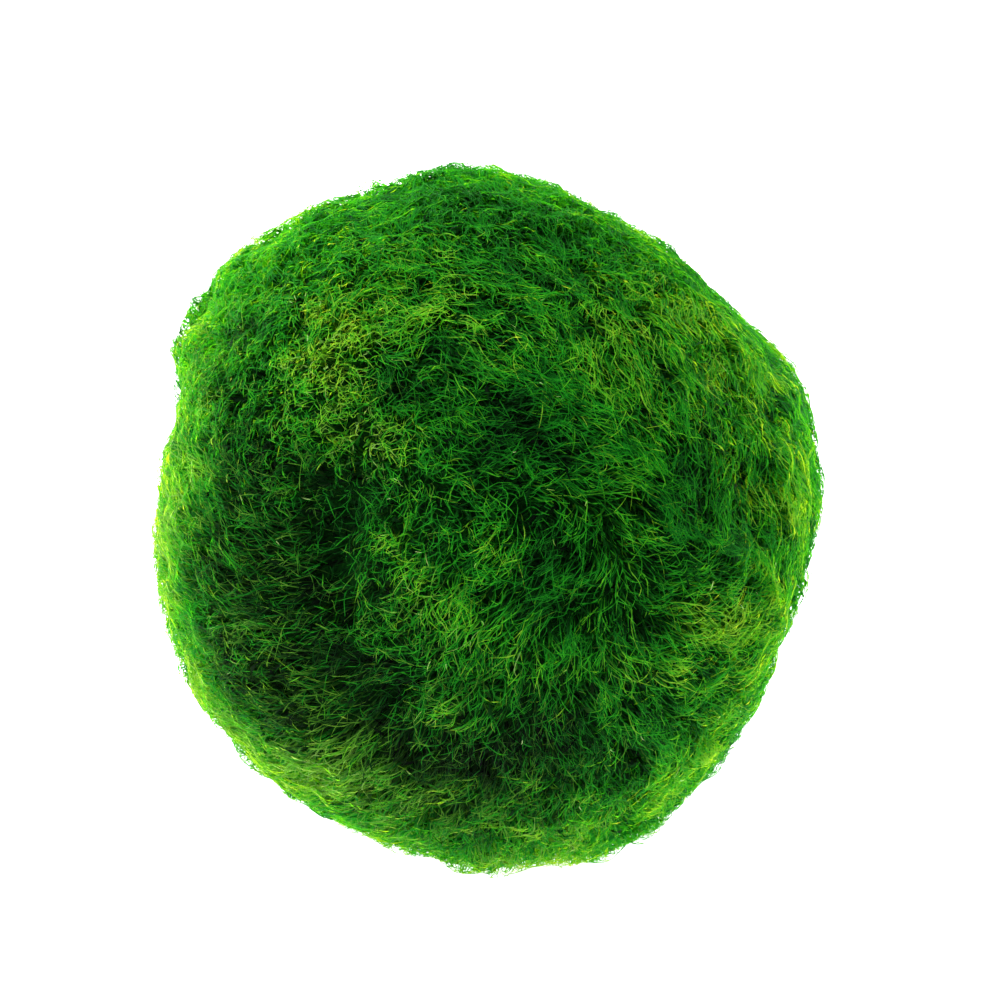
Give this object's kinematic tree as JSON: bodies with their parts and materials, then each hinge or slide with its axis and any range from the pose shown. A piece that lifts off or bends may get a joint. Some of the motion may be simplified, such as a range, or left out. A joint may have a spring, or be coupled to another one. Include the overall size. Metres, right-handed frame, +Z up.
{
  "type": "marimo moss ball",
  "caption": "Round, slightly lumpy ball of felted green algae filaments with a parted coat and a small flat foot that it rests on.",
  "frame": {"origin": "middle of the ball's box at the level of its flat foot, on the surface that it rests on", "axes": "+Z up, -Y towards the side with the parted coat, +X to the right when that side is seen"},
  "size_m": [0.0454, 0.047, 0.0454],
  "materials": {
    "moss": "matt, fibrous felt of fine green algae filaments, paler and more yellow at their tips"
  },
  "bodies": {
    "root": {"moss_ball": "moss"}
  },
  "joints": []
}
